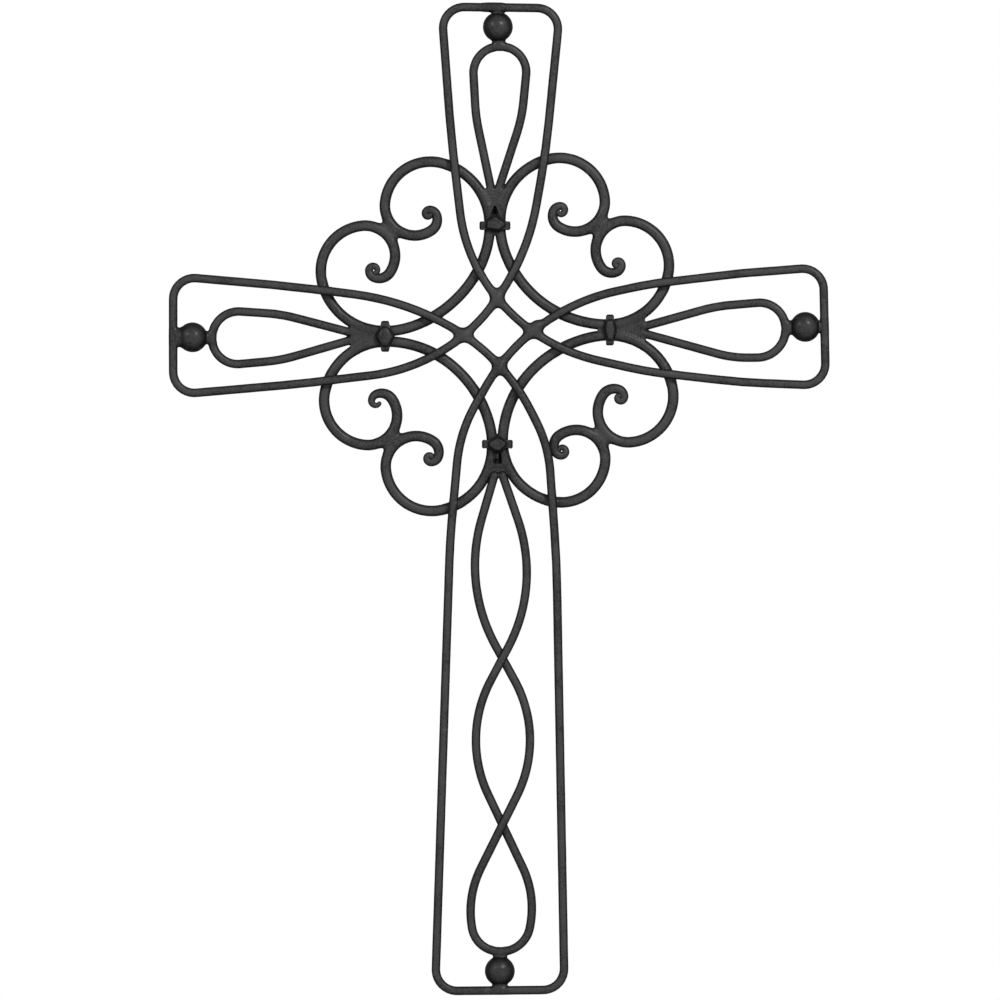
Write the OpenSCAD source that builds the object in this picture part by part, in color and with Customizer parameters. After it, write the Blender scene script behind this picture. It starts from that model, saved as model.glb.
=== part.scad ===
/* [Overall] */
// Middle of the knot to the top bar, centre to centre
top_reach = 200.5; // [165:0.5:241]
// Middle of the knot to the foot bar, centre to centre
foot_reach = 404; // [335:0.5:485]
// Middle of the knot to the bar at the end of each side arm
side_reach = 200.3; // [166.5:0.1:241]
// Width of the three arms at their ends, rod centre to rod centre
arm_end_w = 73; // [66:0.5:88]
// Width of the stem at its foot, rod centre to rod centre
foot_end_w = 79.5; // [72:0.5:96]
// Bend radius of the corners at the ends of the arms
corner_r = 13; // [8:0.5:16]

/* [Rods] */
// Diameter of the outline's and the loops' round rod
frame_d = 5; // [4:0.1:6]
// Diameter of the scrolls' round rod
scroll_d = 6.3; // [5:0.1:7.6]
// Clearance between pieces that are welded where they meet
weld_gap = 0.1; // [0.05:0.05:0.3]

/* [Scrolls] */
// Middle of the knot to the middle of the upper collar
collar_up = 66.5; // [60:0.5:80]
// Middle of the knot to the middle of the lower collar
collar_down = 68; // [60:0.5:82]
// Middle of the knot to the middle of the left collar
collar_left = 70; // [60:0.1:83]
// Middle of the knot to the middle of the right collar
collar_right = 68.4; // [60:0.1:83]
// Size of the scrolls' lobes, as a share of the former's own size
lobe_size = 1; // [0.82:0.01:1.2]
// Diameter of the rod at the drawn-out tip of each scroll
tip_d = 4.4; // [3.6:0.1:5]

/* [Loops] */
// Width of the three teardrop loops, rod centre to rod centre
drop_w = 35; // [30:0.5:44]
// Width of the teardrop loops at the bend of their sides
drop_shoulder_w = 28.4; // [24:0.2:34]
// Widths of the stem loop at the bends of its upper swell, lower swell and end
twist_w = [48.2, 52.3, 42.5]; // [36:0.1:62]

/* [Balls] */
// Diameter of the ball at the end of each arm
ball_d = 18; // [15:0.1:21.6]
// Length of the weld neck on each side of a ball
neck_l = 0.5; // [0.3:0.1:1.5]
// Diameter of the weld necks
neck_d = 6.6; // [5:0.1:8]

/* [Collars] */
// Length of a collar across the two rods
collar_w = 19; // [16:0.5:23]
// Height of a collar along the rods
collar_h = 5.4; // [4.5:0.1:6.6]
// Thickness of the collar's strip behind and in front of the rods
strip_t = 2; // [1.5:0.1:2.5]
// Length, height and rise of the forged boss on the collar's front
boss = [12.6, 9.2, 2.6]; // [2:0.1:16]
// Clearance of the collar round the rods
collar_gap = 0.4; // [0.3:0.05:0.5]

/* [Webs] */
// Thickness of the webs
web_t = 5; // [4:0.1:6]

/* [Hidden] */
// The front faces -Y and the wall is the plane Y = 0. Lengths on the face are [x, z] from the
// middle of the knot. The whole cross is then set with its hanging point at the origin.

rod_sides = 8;
bend_step = 19;
long_bend_step = 10;
arc_steps = 9;
black = "#3a3a3c";
iron = "#454548";

frame_r = frame_d / 2;
scroll_r = scroll_d / 2;
ball_r = ball_d / 2;

// Depths of the rods' centres: the scrolls lie in the collars and the outline lies on the scrolls.
wall_gap = 0.3;
scroll_y = -(strip_t + collar_gap + scroll_r);
frame_y = scroll_y - scroll_r - weld_gap - frame_r;
ball_y = -(wall_gap + ball_r);

// Half the distance between the two rods in a collar
pair = scroll_r + weld_gap / 2;

// Distance on the face from an end bar to its ball, which may sit deeper than the bar
seat = ball_r + frame_r + neck_l;
ball_inset = sqrt(seat * seat - pow(ball_y - frame_y, 2));
// Middle of the knot to the centreline of a loop's round end
function loop_reach(reach) = reach - ball_inset - seat;

// The arms as the smith left them, as distances off the arm's centreline:
// [end bar, ball, loop's end, loop's root, collar]
off_top = [1.2, -0.6, 0.8, -2.4, -2.4];
off_foot = [0.6, 0.6, 1, -0.2, -0.9];
off_left = [-1.2, -2.3, -2.8, -1.6, -1.6];
off_right = [4.4, 4.1, 2.9, 2.3, 2.3];
// The stem loop's bow to the right at the middle of its length
stem_bow = 2.1;
// How far the stem loop's legs lie in front of the scrolls
stem_lead = 3.8;
// Near and far edges of each web, from its collar's middle
web_top = [12, 22.6];
web_foot = [12, 18.6];
web_left = [10, 21.2];
web_right = [8, 21.6];
// Rise of one end of each end bar over its middle
skew_top = 0.5;
skew_foot = -0.4;
skew_right = 0.8;

hang_z = loop_reach(top_reach) - frame_r;

// ---------- Lines on the face ----------

function unit(v) = v / norm(v);
function face(p) = [p[0], p[1]];

// Turn of a line at its point i, positive to the left
function turn_at(line, i) =
    let (a = unit(face(line[i]) - face(line[i - 1])), b = unit(face(line[i + 1]) - face(line[i])))
    atan2(a.x * b.y - a.y * b.x, a * b);

// Points of the arc that rounds the corner i of a line of [x, z, bend radius]
function bend(line, i, step) =
    let (
        turn = turn_at(line, i),
        radius = line[i][2],
        ahead = unit(face(line[i]) - face(line[i - 1])),
        left = [-ahead.y, ahead.x] * sign(turn),
        start = face(line[i]) - ahead * radius * tan(abs(turn) / 2),
        count = max(1, ceil(abs(turn) / step))
    )
    [for (k = [0 : count])
        let (a = abs(turn) * k / count)
        start + ahead * radius * sin(a) + left * radius * (1 - cos(a))];

// A bent rod's centreline through [x, z, bend radius] corners, with straight runs between bends
function bent(line, step) = [
    face(line[0]),
    for (i = [1 : len(line) - 2]) each bend(line, i, line[i][2] > 2 * corner_r ? long_bend_step : step),
    face(line[len(line) - 1])
];

// Points of successive clockwise bends, each [radius, turn], from a start in a heading
function coil(start, heading, bends, i = 0) =
    i == len(bends) ? [] :
    let (
        radius = bends[i][0],
        turn = bends[i][1],
        centre = start + radius * [sin(heading), -cos(heading)],
        count = ceil(turn / bend_step),
        arc = [for (k = [1 : count])
            let (a = heading - turn * k / count) centre + radius * [-sin(a), cos(a)]]
    )
    concat(arc, coil(arc[count - 1], heading - turn, bends, i + 1));

// Points inside a smooth curve that leaves a along from and reaches b along to, held to those
// headings over the two shares of its length in pull
function sweep_between(a, from, b, to, pull, count) =
    let (span = norm(b - a), p = a + from * pull[0] * span, q = b - to * pull[1] * span)
    [for (k = [1 : count - 1])
        let (t = k / count, s = 1 - t) s*s*s * a + 3*s*s*t * p + 3*s*t*t * q + t*t*t * b];

function reversed(list) = [for (i = [len(list) - 1 : -1 : 0]) list[i]];

// ---------- Rods ----------

// A round rod along points [x, y, z], with a radius for each point
module rod(points, radii) {
    last = len(points) - 1;
    rings = [for (i = [0 : last])
        let (
            ahead = unit(points[min(i + 1, last)] - points[max(i - 1, 0)]),
            out = unit(cross(ahead, [0, 1, 0])),
            up = cross(out, ahead)
        )
        for (k = [0 : rod_sides - 1])
            let (a = 360 * k / rod_sides) points[i] + radii[i] * (cos(a) * out + sin(a) * up)];
    sides = [for (i = [0 : last - 1], k = [0 : rod_sides - 1])
        let (next = (k + 1) % rod_sides, a = i * rod_sides, b = a + rod_sides)
        [a + k, a + next, b + next, b + k]];
    start = reversed([for (k = [0 : rod_sides - 1]) k]);
    end = [for (k = [0 : rod_sides - 1]) last * rod_sides + k];
    polyhedron(points = rings, faces = concat([start], sides, [end]), convexity = 10);
}

// A rod of one thickness along a line on the face, at one depth
module flat_rod(line, y, radius)
    rod([for (p = line) [p[0], y, p[1]]], [for (p = line) radius]);

// ---------- Arms ----------

// A point of an arm's own frame, [across, outward], placed on the face
function on_arm(arm, p) =
    arm == "top" ? [p[0], p[1]] :
    arm == "foot" ? [p[0], -p[1]] :
    arm == "left" ? [-p[1], p[0]] : [p[1], p[0]];

function reach_of(arm) = arm == "top" ? top_reach : arm == "foot" ? foot_reach : side_reach;
function collar_reach_of(arm) =
    arm == "top" ? collar_up : arm == "foot" ? collar_down :
    arm == "left" ? collar_left : collar_right;
function off_of(arm) =
    arm == "top" ? off_top : arm == "foot" ? off_foot : arm == "left" ? off_left : off_right;
function web_of(arm) =
    arm == "top" ? web_top : arm == "foot" ? web_foot : arm == "left" ? web_left : web_right;

// Where an arm's collar and ball are centred on the face
function collar_at(arm) = on_arm(arm, [off_of(arm)[4], collar_reach_of(arm)]);
function ball_at(arm) = on_arm(arm, [off_of(arm)[1], reach_of(arm) - ball_inset]);

module at_face(p, y) translate([p[0], y, p[1]]) children();

// Turns a shape drawn for the top arm to another arm
module turned_to(arm)
    rotate([0, arm == "top" ? 0 : arm == "foot" ? 180 : arm == "left" ? -90 : 90, 0]) children();

// ---------- Outline ----------

// The two corners of an arm's end bar, the low-across one first
function end_corners(arm, width, skew) =
    let (mid = off_of(arm)[0])
    [for (s = [-1, 1])
        concat(on_arm(arm, [mid + s * width / 2, reach_of(arm) + s * skew]), corner_r)];

top_bar = end_corners("top", arm_end_w, -skew_top);
foot_bar = end_corners("foot", foot_end_w, skew_foot);
left_bar = end_corners("left", arm_end_w, 0);
right_bar = end_corners("right", arm_end_w, -skew_right);

function middle(bar) = (bar[0] + bar[1]) / 2;

// The four runs of the one outline rod, each from the middle of an end bar round the knot
run_top_to_right = [
    middle(top_bar), top_bar[0],
    [-29.5, 123, 580], [-21, 50, 100], [18.5, -7, 112], [91.5, -23.5, 225], [149, -30, 390],
    right_bar[0], middle(right_bar)
];
run_right_to_foot = [
    middle(right_bar), right_bar[1],
    [149, 37, 115], [93, 30.5, 230], [18.5, 14.5, 123], [-24, -61, 87], [-30, -127, 455],
    foot_bar[0], middle(foot_bar)
];
run_foot_to_left = [
    middle(foot_bar), foot_bar[1],
    [35.5, -140, 720], [30.5, -69, 81], [3, -14.5, 125], [-57.5, 20, 160], [-122.5, 28.5, 780],
    left_bar[1], middle(left_bar)
];
run_left_to_top = [
    middle(left_bar), left_bar[0],
    [-123, -31, 580], [-59.5, -23.5, 109], [-16.5, -1.5, 108], [18, 50, 140], [29, 112.5, 490],
    top_bar[1], middle(top_bar)
];

// The weld that joins the rod's two ends behind a ball, as a short sleeve along the bar
module butt(bar) {
    ahead = unit(face(bar[1]) - face(bar[0]));
    at_face(middle(bar), frame_y)
        rotate([0, atan2(ahead.x, ahead.y), 0])
            cylinder(r = frame_r + weld_gap / 2, h = 2, center = true, $fn = 24);
}

// A small web of weld in the two sharp corners of a crossing, along the heading of its long axis
module crossing_weld(p, heading) {
    at_face(p, frame_y) rotate([0, -heading, 0])
        for (s = [-1, 1])
            hull() {
                cube([0.5, 2.6, 3.4], center = true);
                translate([s * 4.6, 0, 0]) cube([0.5, 2.2, 0.6], center = true);
            }
}

module outline_frame() {
    color(black) {
        for (run = [run_top_to_right, run_right_to_foot, run_foot_to_left, run_left_to_top])
            flat_rod(bent(run, bend_step), frame_y, frame_r);
        for (bar = [top_bar, foot_bar, left_bar, right_bar]) butt(bar);
        crossing_weld([-0.5, 20.5], 90);
        crossing_weld([0.5, -21.5], 90);
        crossing_weld([-21, 0], 0);
        crossing_weld([21.5, 1], 0);
    }
}

// ---------- Loops ----------

// Where a loop's legs end, at its web's far edge
function root_of(arm) = collar_reach_of(arm) + web_of(arm)[1] + 7 * weld_gap;

// Depth of a loop, which leans from its depth at its web to the ball's depth at its end
function loop_y(out, from, to, start) = start + (ball_y - start) * (out - from) / (to - from);

// A loop's centreline on its own arm, with its axis running from the web to the ball
function on_axis(arm, line) =
    let (
        off = off_of(arm),
        from = root_of(arm),
        to = loop_reach(reach_of(arm)),
        bow = arm == "foot" ? stem_bow : 0
    )
    [for (p = line)
        let (t = (p[1] - from) / (to - from))
        [p[0] + off[3] + (off[2] - off[3]) * t + bow * sin(180 * t), p[1]]];

module teardrop(arm) {
    root = root_of(arm);
    tip = loop_reach(reach_of(arm));
    shoulder = root + (tip - root) / 2;
    half = drop_w / 2;
    lean = atan2(half - drop_shoulder_w / 2, tip - shoulder);
    end_r = (half - weld_gap) / tan((90 + lean) / 2);
    leg = frame_r + weld_gap / 2;
    side = [[leg, root], [drop_shoulder_w / 2, shoulder, 54], [half, tip, end_r]];
    line = bent(concat([for (p = side) [-p[0], p[1], p[2]]], reversed(side)), bend_step);
    placed = on_axis(arm, line);
    color(black)
        rod([for (p = placed) let (f = on_arm(arm, p)) [f[0], loop_y(p[1], root, tip, scroll_y), f[1]]],
            [for (p = placed) frame_r]);
}

// The stem loop's two strands swell, cross, swell, cross again and meet in the round end
module stem_loop() {
    root = root_of("foot");
    tip = loop_reach(foot_reach);
    span = tip - root;
    leg = frame_r + weld_gap / 2;
    end_h = 34.3;
    strand = [
        [leg, root],
        [twist_w[0] / 2, root + 0.231 * span, 0.343 * span],
        [-twist_w[1] / 2, root + 0.55 * span, 0.264 * span],
        [twist_w[2] / 2, tip - end_h, 59],
        [15.2, tip, 17.7],
        [0, tip]
    ];
    half = bent(strand, bend_step);
    crossings = [root + 0.378 * span, root + 0.734 * span];
    crossing_h = 0.16 * span;
    over = frame_r + weld_gap;
    placed = on_axis("foot", concat(half, [for (p = reversed(half)) [-p[0], p[1]]]));
    count = len(half);
    color(black)
        rod([for (i = [0 : len(placed) - 1])
                let (
                    p = placed[i],
                    f = on_arm("foot", p),
                    strand_side = i < count ? 1 : -1,
                    rise = [for (k = [0, 1])
                        let (d = abs(p[1] - crossings[k]) / crossing_h)
                        (d < 1 ? (1 + cos(180 * d)) / 2 : 0) * (k == 0 ? 1 : -1)]
                )
                [
                    f[0],
                    loop_y(p[1], root, tip, scroll_y - stem_lead)
                        - strand_side * over * (rise[0] + rise[1]),
                    f[1]
                ]],
            [for (p = placed) frame_r]);
}

// ---------- Balls ----------

module ball(arm) {
    centre = ball_at(arm);
    off = off_of(arm);
    color(iron) difference() {
        union() {
            at_face(centre, ball_y) sphere(r = ball_r, $fn = 48);
            at_face(centre, ball_y) turned_to(arm)
                cylinder(d = neck_d, h = 2 * (ball_r + neck_l) + frame_r, center = true, $fn = 32);
        }
        // The end bar's and the loop's own rods, with the weld's clearance
        at_face(on_arm(arm, [off[1], reach_of(arm)]), frame_y) turned_to(arm)
            rotate([0, 90, 0])
                cylinder(r = frame_r + 2 * weld_gap, h = 4 * ball_r, center = true, $fn = 32);
        at_face(on_arm(arm, [off[2], loop_reach(reach_of(arm))]), ball_y) turned_to(arm)
            rotate([0, 90, 0])
                cylinder(r = frame_r + 2 * weld_gap, h = 4 * ball_r, center = true, $fn = 32);
    }
}

// ---------- Scrolls ----------

// The bends that the former gives each lobe, from the collar to the curl: [radius, turn]
lobe_bends = [[39, 77], [28, 97], [18.4, 129], [8.3, 75], [4.8, 65], [2.8, 110]];
// Of those, the bends over which the rod is drawn out thinner
drawn_bends = 3;

// How each lobe was set: [straight past the collar, spread in degrees, share of the former's size]
top_l = [1, 0.5, 1];
top_r = [3, 0, 1];
left_u = [1.6, 1.3, 1.003];
left_d = [0.3, 1.4, 0.985];
right_u = [0, 2.8, 0.985];
right_d = [0.3, 1.2, 1.02];
foot_l = [2.2, 0.5, 1.015];
foot_r = [0, 2.9, 0.973];

// A lobe's line in its collar's frame [sideways, outward]
function lobe(set) =
    let (scaled = [for (b = lobe_bends) [b[0] * set[2] * lobe_size, b[1]]])
    concat([[pair, 0]], set[0] > 0 ? [[pair, set[0]]] : [], coil([pair, set[0]], 90 - set[1], scaled));

// The radius at each of the line's points, which falls over the drawn-out bends to the tip
function lobe_radii(line) =
    let (
        n = len(line),
        first = len(lobe_bends) - drawn_bends,
        steps = [for (i = [first : len(lobe_bends) - 1]) ceil(lobe_bends[i][1] / bend_step)],
        thin = steps * [for (s = steps) 1]
    )
    [for (i = [0 : n - 1])
        scroll_r - (scroll_r - tip_d / 2) * max(0, i - (n - thin)) / thin];

// Places a lobe at an arm's collar, on the side s of the arm
function lobe_on(arm, s, line) =
    let (off = off_of(arm)[4], out = collar_reach_of(arm))
    [for (p = line) on_arm(arm, [off + s * p[0], out + p[1]])];

// One scroll: a lobe from each of two collars, joined by the arc round the knot
module scroll(arm_a, side_a, lobe_a, arm_b, side_b, lobe_b, pull) {
    line_a = lobe(lobe_a);
    line_b = lobe(lobe_b);
    on_a = lobe_on(arm_a, side_a, line_a);
    on_b = lobe_on(arm_b, side_b, line_b);
    inner = sweep_between(
        on_a[0], on_arm(arm_a, [0, -1]), on_b[0], on_arm(arm_b, [0, 1]), pull, arc_steps);
    line = concat(reversed(on_a), inner, on_b);
    radii = concat(reversed(lobe_radii(line_a)), [for (p = inner) scroll_r], lobe_radii(line_b));
    color(black) rod([for (p = line) [p[0], scroll_y, p[1]]], radii);
}

module scroll_upper_left() scroll("top", -1, top_l, "left", 1, left_u, [0.38, 0.33]);
module scroll_upper_right() scroll("top", 1, top_r, "right", 1, right_u, [0.28, 0.47]);
module scroll_lower_left() scroll("foot", -1, foot_l, "left", -1, left_d, [0.28, 0.46]);
module scroll_lower_right() scroll("foot", 1, foot_r, "right", -1, right_d, [0.47, 0.28]);

// ---------- Collars ----------

// A forged strip closed round the two rods, flat behind and with a raised boss in front
module collar(arm) {
    depth = 2 * (strip_t + collar_gap + scroll_r);
    tab_h = 0.72 * collar_h;
    color(iron) at_face(collar_at(arm), 0) turned_to(arm) {
        difference() {
            translate([0, -depth / 2, 0]) rotate([90, 0, 0])
                linear_extrude(height = depth, center = true)
                    polygon([
                        [-collar_w / 2, -tab_h / 2], [-boss.x / 2, -collar_h / 2],
                        [boss.x / 2, -collar_h / 2], [collar_w / 2, -tab_h / 2],
                        [collar_w / 2, tab_h / 2], [boss.x / 2, collar_h / 2],
                        [-boss.x / 2, collar_h / 2], [-collar_w / 2, tab_h / 2]
                    ]);
            for (s = [-1, 1])
                translate([s * pair, scroll_y, 0])
                    cylinder(r = scroll_r + collar_gap, h = 2 * collar_h, center = true, $fn = 48);
        }
        translate([0, -depth - boss.z / 2, 0])
            hull() {
                translate([0, boss.z / 2 - 0.4, 0]) cube([boss.x, 0.8, 0.55 * boss.y], center = true);
                translate([0, boss.z / 2 - 0.4, 0]) cube([0.55 * boss.x, 0.8, boss.y], center = true);
                translate([0, -boss.z / 2 + 0.1, 0]) cube([0.42 * boss.x, 0.2, 0.3 * boss.y], center = true);
            }
    }
}

// ---------- Webs ----------

// A plate of weld between the two scroll rods outside a collar, where the loop's legs end
module web(arm, near, far) {
    edges = web_of(arm);
    along = ceil(lobe_bends[0][1] / bend_step);
    sides = [for (s = [-1, 1])
        let (line = lobe(s == -1 ? near : far))
        [for (i = [1 : along])
            let (ahead = unit(line[i + 1] - line[i - 1]), off = scroll_r + weld_gap)
            [s * (line[i].x - ahead.y * off), line[i].y + ahead.x * off]]];
    color(iron) at_face(collar_at(arm), scroll_y) turned_to(arm)
        rotate([90, 0, 0]) linear_extrude(height = web_t, center = true)
            intersection() {
                polygon(concat(sides[0], reversed(sides[1])));
                translate([-collar_w, edges[0]]) square([2 * collar_w, edges[1] - edges[0]]);
            }
}

module hung() translate([0, 0, -hang_z]) children();

hung() outline_frame();
hung() teardrop("top");  // loop_top
hung() teardrop("left");  // loop_left
hung() teardrop("right");  // loop_right
hung() stem_loop();  // loop_stem
hung() ball("top");  // ball_top
hung() ball("left");  // ball_left
hung() ball("right");  // ball_right
hung() ball("foot");  // ball_foot
hung() scroll_upper_left();
hung() scroll_upper_right();
hung() scroll_lower_left();
hung() scroll_lower_right();
hung() collar("top");  // collar_top
hung() collar("left");  // collar_left
hung() collar("right");  // collar_right
hung() collar("foot");  // collar_foot
hung() web("top", top_l, top_r);  // web_top
hung() web("left", left_d, left_u);  // web_left
hung() web("right", right_u, right_d);  // web_right
hung() web("foot", foot_r, foot_l);  // web_foot
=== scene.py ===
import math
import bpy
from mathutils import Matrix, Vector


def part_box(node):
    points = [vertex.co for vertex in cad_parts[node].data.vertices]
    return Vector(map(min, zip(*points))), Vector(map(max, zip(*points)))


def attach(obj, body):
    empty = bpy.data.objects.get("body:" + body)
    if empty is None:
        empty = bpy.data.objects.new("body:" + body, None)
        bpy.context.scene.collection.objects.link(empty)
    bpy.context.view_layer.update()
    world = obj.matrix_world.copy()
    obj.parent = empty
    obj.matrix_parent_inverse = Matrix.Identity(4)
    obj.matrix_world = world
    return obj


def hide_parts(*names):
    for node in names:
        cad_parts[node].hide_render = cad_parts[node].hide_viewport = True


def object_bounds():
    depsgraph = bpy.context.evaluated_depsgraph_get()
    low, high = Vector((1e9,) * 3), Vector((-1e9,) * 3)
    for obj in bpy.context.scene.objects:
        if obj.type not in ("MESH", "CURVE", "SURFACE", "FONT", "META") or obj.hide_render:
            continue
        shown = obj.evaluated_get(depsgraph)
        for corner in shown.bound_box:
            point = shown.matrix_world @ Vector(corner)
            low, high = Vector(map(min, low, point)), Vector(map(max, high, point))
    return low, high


bl_info = {
    "name": "Wrought Iron Wall Cross",
    "version": (1, 0, 0),
    "blender": (4, 5, 0),
    "location": "3D View > Sidebar > Wall Cross",
    "description": "Builds a black wrought iron wall cross and the stage it is shown on",
    "category": "Add Mesh",
}

from collections import namedtuple

import bmesh
import bpy
import numpy as np
from bpy.props import (
    FloatProperty,
    FloatVectorProperty,
    IntProperty,
    PointerProperty,
)
from bpy.types import Operator, Panel, PropertyGroup
from mathutils import Vector

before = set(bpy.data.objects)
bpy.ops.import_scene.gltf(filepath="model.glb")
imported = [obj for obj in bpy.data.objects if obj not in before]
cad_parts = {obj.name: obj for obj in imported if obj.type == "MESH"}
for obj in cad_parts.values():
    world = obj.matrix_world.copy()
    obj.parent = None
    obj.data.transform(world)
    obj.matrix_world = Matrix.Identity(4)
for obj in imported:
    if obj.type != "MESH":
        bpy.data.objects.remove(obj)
CAD_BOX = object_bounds()

MM = 0.001
BODY = "root"

# ---------- The cross's own sizes, in millimetres ----------
# Lengths on the face are (x, z) from the middle of the knot. The front faces -Y and the wall is
# the plane Y = 0.

# From the knot to the arm's end bar and to its collar; how far the bar, the ball, the loop's end, the
# loop's root and the collar stand off the arm's axis; the web's near and far edges, out from the
# collar; how much each half of the end bar slopes; and the end bar's width
Arm = namedtuple("Arm", "reach collar bar_off ball_off loop_off root_off collar_off web skew end_w")
ARMS = {
    "top": Arm(200.5, 66.5, 1.2, -0.6, 0.8, -2.4, -2.4, (12, 22.6), -0.5, 73),
    "foot": Arm(404, 68, 0.6, 0.6, 1, -0.2, -0.9, (12, 18.6), -0.4, 79.5),
    "left": Arm(200.3, 70, -1.2, -2.3, -2.8, -1.6, -1.6, (10, 21.2), 0, 73),
    "right": Arm(200.3, 68.4, 4.4, 4.1, 2.9, 2.3, 2.3, (8, 21.6), -0.8, 73),
}
WELD_GAP = 0.1
CORNER_R = 13
STRIP_T = 2
COLLAR_GAP = 0.4
SCROLL_R = 3.15
OUTLINE_R = 2.5
PAINT = 0.2
BALL_R = 9
BALL_OFF_WALL = 0.3
NECK_L = 0.5
SCROLL_Y = -(STRIP_T + COLLAR_GAP + SCROLL_R)
OUTLINE_Y = SCROLL_Y - SCROLL_R - WELD_GAP - OUTLINE_R
BALL_Y = -(BALL_OFF_WALL + BALL_R)
PAIR = SCROLL_R + WELD_GAP / 2
SEAT = BALL_R + OUTLINE_R + NECK_L
BALL_INSET = math.sqrt(SEAT**2 - (BALL_Y - OUTLINE_Y) ** 2)
ROOT_GAP = 7 * WELD_GAP
COLLAR_W = 19
COLLAR_DEPTH = 2 * (STRIP_T + COLLAR_GAP + SCROLL_R)

# Height of the middle of the knot in the frame, from the left arm's collar
COLLAR_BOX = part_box("collar_left")
KNOT_Z = (COLLAR_BOX[0].z + COLLAR_BOX[1].z) / 2 / MM - ARMS["left"].collar_off

# The bends that the former gives each lobe, from the collar to the curl: (radius, turn)
LOBE_BENDS = [(39, 77), (28, 97), (18.4, 129)]

# The bends in which the rod is drawn out thinner, by how its end is curled, and the tip's radius
CURLS = {
    "closed": ([(8.3, 75), (4.8, 65), (2.8, 50), (2.1, 80), (1.55, 130)], 1.75),
    "eye": ([(8.3, 75), (4.8, 65), (2.8, 60), (2.5, 100), (2.3, 110)], 1.4),
    "hook": ([(8.3, 75), (4.8, 65), (2.8, 110), (2.2, 45)], 1.25),
}

# How each lobe was set: (straight past the collar, spread in degrees, share of the former's
# size, curl)
LOBES = {
    "top_l": (1, 0.5, 1, "closed"),
    "top_r": (3, 0, 1, "eye"),
    "left_u": (1.6, 1.3, 1.003, "eye"),
    "left_d": (0.3, 1.4, 0.985, "hook"),
    "right_u": (0, 2.8, 0.985, "closed"),
    "right_d": (0.3, 1.2, 1.02, "closed"),
    "foot_l": (2.2, 0.5, 1.015, "closed"),
    "foot_r": (0, 2.9, 0.973, "eye"),
}

# Each scroll runs from one arm's collar to another's: (arm, side of the arm, lobe) at both ends, and
# how far the sweep between them pulls along each end's heading, as shares of its span
SCROLLS = {
    "scroll_upper_left": ("top", -1, "top_l", "left", 1, "left_u", (0.38, 0.33)),
    "scroll_upper_right": ("top", 1, "top_r", "right", 1, "right_u", (0.28, 0.47)),
    "scroll_lower_left": ("foot", -1, "foot_l", "left", -1, "left_d", (0.28, 0.46)),
    "scroll_lower_right": ("foot", 1, "foot_r", "right", -1, "right_d", (0.47, 0.28)),
}

# The two lobes that pass each arm's collar, low-across side first
PASSING = {
    "top": ("top_l", "top_r"),
    "foot": ("foot_l", "foot_r"),
    "left": ("left_d", "left_u"),
    "right": ("right_d", "right_u"),
}

# The four runs of the outline rod from one end bar's corner to the next one's: (arm, corner, arm,
# corner, bends), with each bend as (x, z, bend radius)
RUNS = [
    ("top", 0, "right", 0,
     [(-29.5, 123, 580), (-21, 50, 100), (18.5, -7, 112), (91.5, -23.5, 225), (149, -30, 390)]),
    ("right", 1, "foot", 0,
     [(149, 37, 115), (93, 30.5, 230), (18.5, 14.5, 123), (-24, -61, 87), (-30, -127, 455)]),
    ("foot", 1, "left", 1,
     [(35.5, -140, 720), (30.5, -69, 81), (3, -14.5, 125), (-57.5, 20, 160), (-122.5, 28.5, 780)]),
    ("left", 0, "top", 1,
     [(-123, -31, 580), (-59.5, -23.5, 109), (-16.5, -1.5, 108), (18, 50, 140), (29, 112.5, 490)]),
]

# Each teardrop loop's two shoulders, low-across side first: (distance from its axis, share of
# its length, bend radius); and how far its axis bows
TEARDROPS = {
    "top": ((14.2, 0.5, 100), (14.2, 0.5, 100), 0.75),
    "left": ((14.2, 0.5, 100), (14.2, 0.5, 100), 0),
    "right": ((17.6, 0.62, 70), (14.2, 0.5, 100), 0),
}
TEARDROP_W = 35
INTO_WEB = 3

# The stem loop's two swells: (distance from its axis, share of its length, bend radius as a share
# of it), then the two bends of its end: (distance from its axis, back from its end, bend radius)
STEM_SWELLS = [(24.1, 0.231, 0.343), (-26.15, 0.55, 0.264)]
STEM_END = [(21.25, 34.3, 59), (15.2, 0, 17.7)]

# Where its strands cross, as shares of its length, and which strand passes in front
STEM_CROSSINGS = [(0.378, 1), (0.734, -1)]
STEM_RISE = 0.16
STEM_BOW = 2.1
STEM_LEAD = 3.8


# ---------- Node trees ----------


class Socket:
    """A number in a node tree, whose arithmetic adds Math nodes."""

    def __init__(self, graph, output):
        self.graph = graph
        self.output = output

    def _math(self, operation, first, second):
        return self.graph.value("ShaderNodeMath", {0: first, 1: second}, operation=operation)

    def __add__(self, other):
        return self._math("ADD", self, other)

    __radd__ = __add__

    def __sub__(self, other):
        return self._math("SUBTRACT", self, other)

    def __rsub__(self, other):
        return self._math("SUBTRACT", other, self)

    def __mul__(self, other):
        return self._math("MULTIPLY", self, other)

    __rmul__ = __mul__

    def __rtruediv__(self, other):
        return self._math("DIVIDE", other, self)

    def greatest(self, other):
        return self._math("MAXIMUM", self, other)

    def smoothed(self, low, high):
        """0 below low and 1 above high, with a soft step between them."""
        return self.graph.value(
            "ShaderNodeMapRange", {0: self, 1: low, 2: high}, interpolation_type="SMOOTHSTEP"
        )


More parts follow.
